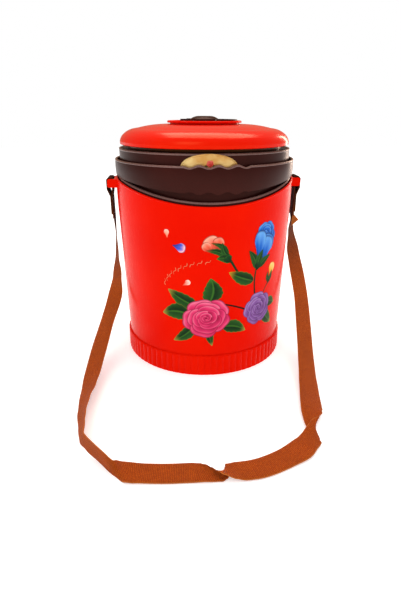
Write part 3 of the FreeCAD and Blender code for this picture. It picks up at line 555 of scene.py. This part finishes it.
class Print:
    """Ink on a wall, laid down in thin layers. Places are (s, z) in mm: on the shell, s runs along the wall
    to the right of the front and z is above the floor."""

    STEP = 0.012

    def __init__(self, place=None, first=0.06):
        self.verts, self.faces, self.inks = [], [], []
        self.rise = first
        self.place = place or self.on_shell

    @staticmethod
    def on_shell(s, z, rise):
        return on_wall(shell_radius(z) + rise, s / PRINT_R, z)

    def grid(self, rows, inks, closed=False):
        """Lays a grid of places with a colour each, on top of what is printed already."""
        base = len(self.verts)
        across = len(rows[0])
        for row, colours in zip(rows, inks):
            self.verts += [self.place(s, z, self.rise) for s, z in row]
            self.inks += colours
        for i in range(len(rows) - 1):
            for k in range(across if closed else across - 1):
                a, b = base + i * across + k, base + i * across + (k + 1) % across
                self.faces.append((a, b, b + across, a + across))
        self.rise += self.STEP

    def petal(self, centre, reach, heading, spread, palette, squash=(1, 1), tilt=0.0, lit=(0.2, 0.9),
              curl=0.12, notch=0.0):
        """A fan-shaped petal about centre: deep where it leaves the heart, light at its curled edge."""
        rows, inks = [], []
        for i in range(15):
            f = i / 14
            row, colours = [], []
            for k in range(19):
                t = -1 + k / 9
                r = reach * f * (1 - 0.30 * abs(t) ** 3 - notch * math.exp(-(t / 0.25) ** 2))
                a = heading + spread * t * (0.75 + 0.25 * f)
                x, y = r * math.cos(a) * squash[0], r * math.sin(a) * squash[1]
                row.append((centre[0] + x * math.cos(tilt) - y * math.sin(tilt),
                            centre[1] + x * math.sin(tilt) + y * math.cos(tilt)))
                shade = lit[0] + (lit[1] - lit[0]) * f ** 1.3
                shade += 0.04 * math.sin(7 * t) - 0.30 * max(0.0, t) ** 2
                if f > 1 - curl:
                    shade += 0.25 * (f - 1 + curl) / curl
                if f == 1:
                    shade = 0.05
                colours.append(tone(palette, min(1.0, max(0.0, shade))))
            rows.append(row)
            inks.append(colours)
        self.grid(rows, inks)

    def rose(self, centre, radius, palette, squash=(1, 1), tilt=0.0, turn=0.0, light=1.0):
        """Rings of petals, each ring smaller and laid over the last, closing on a spiral heart."""
        rings = ((1.0, 5, 0.80, 0.0), (0.80, 4, 1.0, 0.45), (0.60, 3, 1.3, 0.2), (0.43, 3, 1.3, 0.75),
                 (0.29, 2, 1.9, 0.3), (0.18, 2, 1.9, 0.8), (0.09, 1, 3.1, 0.0))
        for depth, (size, count, spread, offset) in enumerate(rings):
            for i in range(count):
                heading = turn + 2 * math.pi * (i + offset) / count
                facing = 0.5 + 0.5 * math.sin(heading)
                low = -0.12 + 0.06 * facing
                high = (0.50 + 0.26 * facing) * light
                sway = 0.09 * radius * size
                middle = (centre[0] + sway * math.cos(heading + 2), centre[1] + sway * math.sin(heading + 2))
                reach = radius * size * (1 + 0.05 * math.sin(3 * i + depth))
                self.petal(middle, reach, heading, spread, palette, squash, tilt, (low, high), 0.16,
                           0.04 if depth < 2 else 0.0)

    def leaf(self, base, tip, width, bend=0.0, ends=LEAF_TIP, dark=GREEN_DARK):
        """A pointed leaf with a pale midrib and side veins, dark by its stalk and pale at its tip."""
        (x0, y0), (x1, y1) = base, tip
        dx, dy = x1 - x0, y1 - y0
        length = math.hypot(dx, dy)
        nx, ny = -dy / length, dx / length
        rows, inks = [], []
        for i in range(25):
            u = i / 24
            bow = bend * math.sin(math.pi * u)
            half = width / 2 * math.sin(math.pi * min(1.0, u ** 0.72)) ** 0.8 + 0.12
            half *= 1 + 0.05 * math.sin(34 * u)
            row, colours = [], []
            for k in range(13):
                v = -1 + k / 6
                off = bow + v * half
                row.append((x0 + dx * u + nx * off, y0 + dy * u + ny * off))
                vein = 0.5 + 0.5 * math.sin(26 * u - 5.5 * abs(v))
                side = 0.30 if v > 0 else 0.0
                ink = mix(dark, GREEN, 0.35 + side + 0.45 * vein * abs(v))
                ink = mix(ink, GREEN_LIGHT, 0.45 * abs(v) ** 2 * (0.4 + 0.6 * u) + side * 0.4)
                ink = mix(ink, ends, max(0.0, (u - 0.72) / 0.28) ** 1.5 * 0.9 + (0.22 if abs(v) == 1 else 0))
                if k == 6:
                    ink = mix(ink, GREEN_LIGHT, 0.75)
                colours.append(ink)
            rows.append(row)
            inks.append(colours)
        self.grid(rows, inks)

    def band(self, places, widths, inks, steps=24):
        """A stroke along a smooth line through places, with a width in mm and a colour at each end."""
        rows, colours = [], []
        for i in range(steps + 1):
            u = i / steps
            (x, y), (dx, dy) = along_curve(places, u)
            size = math.hypot(dx, dy)
            half = (widths[0] + (widths[1] - widths[0]) * u) / 2
            nx, ny = -dy / size * half, dx / size * half
            rows.append([(x + nx * v, y + ny * v) for v in (-1, -0.4, 0.4, 1)])
            ink = mix(inks[0], inks[1], u)
            deep = tuple(c * 0.35 for c in ink)
            colours.append([deep, ink, ink, deep])
        self.grid(rows, colours)

    def finish(self, name, body, material):
        obj = add_mesh(name, self.verts, self.faces, material)
        layer = obj.data.color_attributes.new("ink", "FLOAT_COLOR", "POINT")
        for item, ink in zip(layer.data, self.inks):
            item.color = (*ink, 1)
        return belongs(obj, body)


def along_curve(places, u):
    """A point and direction at u from 0 to 1 on the Bezier curve of the places."""
    points = [tuple(p) for p in places]
    while len(points) > 2:
        points = [tuple(a + (b - a) * u for a, b in zip(p, q)) for p, q in zip(points, points[1:])]
    (x0, y0), (x1, y1) = points
    return (x0 + (x1 - x0) * u, y0 + (y1 - y0) * u), (x1 - x0, y1 - y0)


def pink_rose():
    p = Print()
    p.band([(10, 78), (22, 76), (38, 68)], (1.5, 1.7), (GREEN_DARK, GREEN_DARK))
    p.leaf((-14, 76), (-43, 92), 14, 1.5)
    p.leaf((-2, 80), (-1, 105), 19, -3, GREEN_LIGHT)
    p.leaf((-22, 68), (-50, 66), 17, -2.5)
    p.leaf((-16, 56), (-39, 37), 12, 2)
    p.leaf((12, 54), (37, 46), 14, 2.5)
    p.leaf((-2, 52), (1, 33), 8, -1)
    p.rose((-5.0, 63.8), 25.0, PINK, (1.04, 0.86), 0.1, 0.5)
    p.finish("print_pink_rose", "bucket", INK)


def purple_rose():
    p = Print()
    p.leaf((60, 62), (76, 44), 13, -1)
    p.leaf((64, 70), (80, 66), 11, 1)
    p.rose((52, 67), 18.5, PURPLE, (1.0, 0.95), 0.5, 1.1)
    p.finish("print_purple_rose", "bucket", INK)


def blue_rose():
    p = Print()
    p.band([(46.0, 84), (43, 98), (46, 112)], (1.7, 1.5), (GREEN_DARK, GREEN))
    p.band([(14, 126), (22, 116), (24, 106), (33, 104)], (2.6, 1.5), (GREEN, GREEN_DARK))
    p.band([(58, 82), (60, 88), (66, 93)], (0.9, 1.1), (GREEN, GREEN))
    p.leaf((43, 98), (16, 110), 13, 1, (0.62, 0.30, 0.02))
    p.rose((56, 141), 14.5, BLUE, (0.9, 1.0), 0.2, 0.6, 1.05)
    p.petal((48, 112), 33, 1.16, 0.42, BLUE, (1, 1), 0.0, (0.3, 0.75), 0.05)
    p.petal((53, 113), 28, 1.38, 0.45, BLUE, (1, 1), 0.0, (0.2, 0.95), 0.06)
    p.petal((47, 114), 33, 1.52, 0.30, BLUE, (1, 1), 0.0, (0.15, 1.0), 0.05)
    p.leaf((46, 110), (36, 129), 8, -1.5, GREEN)
    p.leaf((46, 110), (52, 128), 8, 1, GREEN)
    p.leaf((48, 111), (63, 121), 7, 1, GREEN)
    p.petal((46, 108), 8, 1.3, 0.8, (GREEN_DARK, GREEN, GREEN_LIGHT), (1, 1), 0.0, (0.1, 0.5))
    p.finish("print_blue_rose", "bucket", INK)


def buds():
    p = Print()
    p.petal((6, 129), 19, 2.20, 0.62, CORAL, lit=(0.1, 0.95), curl=0.08)
    p.petal((9, 127), 18, 1.85, 0.42, CORAL, lit=(0.05, 0.75), curl=0.08)
    p.petal((2, 128), 15, 2.35, 0.42, CORAL, lit=(0.05, 0.85), curl=0.1)
    p.leaf((15, 124), (-6, 132), 6, -2.5, (0.45, 0.05, 0.02))
    p.leaf((15, 124), (-1, 139), 5.5, -4, (0.20, 0.04, 0.01))
    p.leaf((16, 124), (9, 139), 6, 2, GREEN)
    p.leaf((17, 121), (4, 124), 8, -2, GREEN_LIGHT)
    p.petal((18, 119), 9, 2.2, 0.7, (GREEN_DARK, GREEN, GREEN_LIGHT), lit=(0.2, 0.6))
    p.petal((66, 95), 17, 1.35, 0.40, YELLOW, lit=(0.2, 0.9), curl=0.08)
    p.leaf((64, 92), (69, 104), 4.5, -1, GREEN)
    p.leaf((64, 92), (63, 103), 4, 1, GREEN)
    p.petal((64, 90), 6, 1.4, 0.7, (GREEN_DARK, GREEN, GREEN_LIGHT), lit=(0.2, 0.6))
    p.finish("print_buds", "bucket", INK)


def loose_petals():
    p = Print()
    violet = (BLUE[0], (0.06, 0.10, 0.60), (1.0, 0.55, 0.55))
    p.petal((-37, 136), 13, -0.25, 0.52, violet, lit=(0.1, 0.85), curl=0.2)
    p.petal((-41.5, 142), 8.5, 1.65, 0.42, (BLUE[0], (0.95, 0.16, 0.07), (1.0, 0.55, 0.42)), lit=(0.5, 1.0))
    p.petal((-28, 97), 9, 0.6, 0.42, (CORAL[1], CORAL[1], (1.0, 0.6, 0.5)), lit=(0.45, 1.0), curl=0.3)
    p.finish("print_loose_petals", "bucket", INK)


def flourish():
    """A thin row of scrolls along an arc, standing where the carrier has its slogan."""
    p = Print()
    ink = (0.85, 0.20, 0.09)
    for i in range(9):
        u = i / 8
        (x, y), (dx, dy) = along_curve([(-46, 99), (-36, 118), (-4, 121)], u)
        size = math.hypot(dx, dy)
        tx, ty, high = dx / size, dy / size, 2.3 - 0.9 * abs(u - 0.5)
        corners = [(-2.6, -1), (-0.5, 1.6), (0.9, -1.6), (2.7, 1)]
        line = [(x + tx * a - ty * b * high, y + ty * a + tx * b * high) for a, b in corners]
        p.band(line, (0.35, 0.75) if i % 2 else (0.75, 0.35), (ink, ink), 12)
    p.finish("print_flourish", "bucket", INK)


# ---------------------------------------------------------------- badge

def badge_point(x, z, proud):
    """A point on the badge's curved face, from mm across and up from the badge's middle."""
    azimuth = math.radians(BADGE_AZIMUTH) + math.asin(x / BADGE_FACE_R)
    return on_wall(BADGE_FACE_R + proud, azimuth, BADGE_Z + z)


def badge():
    """A raised bead round the oval plaque and a small red flower printed on it."""
    steps = 160
    half_width, half_height = [half - EDGE_INSET for half in BADGE_HALF]
    edge = []
    for i in range(steps):
        a = 2 * math.pi * i / steps
        edge.append(badge_point(half_width * math.cos(a), half_height * math.sin(a), 0.0))
    belongs(bead("badge_bead", edge, BADGE_BEAD * MM, GOLD, sides=8), "lid")
    p = Print(badge_point, 0.05)
    p.leaf((-1.0, 1.5), (-6.0, 0.0), 2.0, 0.4, RED_INK[1], RED_INK[0])
    p.leaf((2.0, 1.5), (6.0, 0.5), 1.8, -0.4, RED_INK[1], RED_INK[0])
    p.rose((0.5, 2.6), 3.3, RED_INK, (1.0, 0.9), 0.2, 0.4)
    p.finish("badge_flower", "lid", INK)


# ---------------------------------------------------------------- strap

def route_line(route):
    """The strap's middle line: a smooth spline whose control points are the route."""
    curve = bpy.data.curves.new("strap_line", "CURVE")
    curve.dimensions = "3D"
    curve.resolution_u = 12
    spline = curve.splines.new("NURBS")
    spline.points.add(len(route) - 1)
    for point, station in zip(spline.points, route):
        point.co = (*[v * MM for v in station[0]], 1)
    spline.order_u = 3
    spline.use_endpoint_u = True
    line = bpy.data.objects.new("strap_line", curve)
    bpy.context.scene.collection.objects.link(line)
    bpy.context.view_layer.update()
    mesh = bpy.data.meshes.new_from_object(line)
    points = [v.co.copy() for v in mesh.vertices]
    bpy.data.objects.remove(line)
    bpy.data.meshes.remove(mesh)
    return points


def between(first, second, t):
    """A vector on the way from first to second. Where the two differ by less than a right angle it turns, its
    length going evenly from one's to the other's; past that it folds over through the middle line."""
    mixed = first.lerp(second, t)
    if first.dot(second) > 0:
        mixed = mixed.normalized() * (first.length + (second.length - first.length) * t)
    return mixed


def front_offsets(route, points):
    """The way from the middle line to the front edge, at each of the line's points. A route point without a
    half length of its own has its direction squared to the line."""
    spans = len(route) - 2
    stations = [0.0] + [i + 0.5 for i in range(spans)] + [float(spans)]
    fronts = []
    for place, (_, across, *half) in zip(stations, route):
        front = Vector(across).normalized()
        if not half:
            near = round(place / spans * (len(points) - 1))
            along = (points[min(near + 1, len(points) - 1)] - points[max(near - 1, 0)]).normalized()
            front = (front - along * front.dot(along)).normalized()
        fronts.append(front * (half[0] if half else WEB_WIDTH / 2) * MM)
    found = []
    for k in range(len(points)):
        at = k / (len(points) - 1) * spans
        i = max(j for j in range(len(stations) - 1) if stations[j] <= at or j == 0)
        t = min(1.0, (at - stations[i]) / (stations[i + 1] - stations[i]))
        found.append(between(fronts[i], fronts[i + 1], t * t * (3 - 2 * t)))
    return found


def ribbon(name, points, fronts, cells=5):
    """Webbing along points: a flat strip with thinner edges, and UV in metres along and across it. Each
    cross section goes straight from its back edge to its front edge, lifted where it would sink below Z 0."""
    half_t = WEB_THICK / 2 * MM
    steps = [k / cells for k in range(-cells, cells + 1)]
    verts, us, vs, faces = [], [], [], []
    length = 0.0
    for i, (p, front) in enumerate(zip(points, fronts)):
        if i:
            length += (p - points[i - 1]).length
        along = (points[min(i + 1, len(points) - 1)] - points[max(i - 1, 0)]).normalized()
        line = [p + front * v for v in steps]
        upper, lower = [], []
        for k, v in enumerate(steps):
            side = line[min(k + 1, 2 * cells)] - line[max(k - 1, 0)]
            normal = along.cross(side).normalized() * (half_t if abs(v) < 1 else half_t * 0.45)
            upper.append(line[k] + normal)
            lower.append(line[k] - normal)
        row = upper + lower[::-1]
        sunk = min(0.0, min(q.z for q in row))
        verts += [q - Vector((0, 0, sunk)) for q in row]
        us += [length] * len(row)
        vs += [(v + 1) * WEB_WIDTH / 2 * MM for v in steps + steps[::-1]]
    n = 2 * len(steps)
    for i in range(len(points) - 1):
        for k in range(n):
            a, b = i * n + k, i * n + (k + 1) % n
            faces.append((a, a + n, b + n, b))
    faces.append(tuple(range(n)))
    faces.append(tuple(range(len(verts) - n, len(verts)))[::-1])
    obj = add_mesh(name, verts, faces, WEBBING)
    layer = obj.data.uv_layers.new(name="UVMap")
    for loop in obj.data.loops:
        layer.data[loop.index].uv = (us[loop.vertex_index], vs[loop.vertex_index])
    return obj


def strap():
    points = route_line(STRAP_ROUTE)
    piece = ribbon("strap_webbing", points, front_offsets(STRAP_ROUTE, points))
    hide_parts("shoulder_strap")
    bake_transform(piece)


def tail():
    """The free corner of the strap's right end, which sticks out below its lug."""
    corners = [Vector(c) * MM for c in TAIL]
    normal = (corners[1] - corners[0]).cross(corners[2] - corners[0]).normalized() * (WEB_THICK / 2 * MM)
    verts = [c + normal for c in corners] + [c - normal for c in corners]
    faces = [(0, 1, 2), (5, 4, 3), (0, 3, 4, 1), (1, 4, 5, 2), (2, 5, 3, 0)]
    piece = add_mesh("strap_tail", verts, faces, webbing("webbing_tail"), smooth=False)
    layer = piece.data.uv_layers.new(name="UVMap")
    for loop in piece.data.loops:
        co = piece.data.vertices[loop.vertex_index].co
        layer.data[loop.index].uv = (STRAP_LENGTH / 2 * MM + co.x, co.z)
    belongs(piece, "strap")


# ---------------------------------------------------------------- camera, floor and light

def camera():
    data = bpy.data.cameras.new("camera")
    data.sensor_fit = "VERTICAL"
    data.sensor_height = 36.0
    data.lens = FOCAL_LENGTHS * data.sensor_height
    data.shift_x, data.shift_y = SHIFT
    obj = bpy.data.objects.new("camera", data)
    turn = math.radians(CAMERA_TURN)
    obj.location = (-CAMERA_DISTANCE * math.sin(turn), -CAMERA_DISTANCE * math.cos(turn), CAMERA_HEIGHT)
    obj.rotation_euler = (math.radians(90 - CAMERA_PITCH), math.radians(CAMERA_ROLL), -turn)
    bpy.context.scene.collection.objects.link(obj)
    bpy.context.scene.camera = obj


def area_light(name, place, target, size, power, color=(1, 1, 1)):
    data = bpy.data.lights.new(name, "AREA")
    data.shape = "RECTANGLE"
    data.size, data.size_y = size
    data.energy = power
    data.color = color
    obj = bpy.data.objects.new(name, data)
    obj.location = place
    facing = Vector(target) - Vector(place)
    obj.rotation_euler = facing.to_track_quat("-Z", "Y").to_euler()
    bpy.context.scene.collection.objects.link(obj)


def studio():
    reach = 3.0
    corners = [(-reach, -reach, 0), (reach, -reach, 0), (reach, reach, 0), (-reach, reach, 0)]
    floor = add_mesh("floor", corners, [(0, 1, 2, 3)], plain_floor(), smooth=False)
    world = bpy.data.worlds.new("studio")
    world.use_nodes = True
    tree = world.node_tree
    amount, plain, in_gloss, result = color_mixer(tree)
    tree.links.new(tree.nodes.new("ShaderNodeLightPath").outputs["Is Glossy Ray"], amount)
    plain.default_value = (1, 1, 1, 1)
    in_gloss.default_value = (*GLOSSY_WORLD, 1)
    tree.links.new(result, tree.nodes["Background"].inputs["Color"])
    bpy.context.scene.world = world
    bpy.context.scene.view_settings.view_transform = "Standard"
    middle = (0, 0, 0.13)
    area_light("key", (-0.5, -0.9, 1.0), middle, (0.6, 0.5), 2.0)
    area_light("top", (0.08, 0.3, 1.1), middle, (0.9, 0.6), 8.0, (1.0, 0.78, 0.62))
    area_light("edge", (0.85, 0.95, 0.35), middle, (0.16, 0.8), 4.0, (1.0, 0.75, 0.6))


camera()
strap()
tail()
rims()
pink_rose()
purple_rose()
blue_rose()
buds()
loose_petals()
flourish()
badge()
studio()
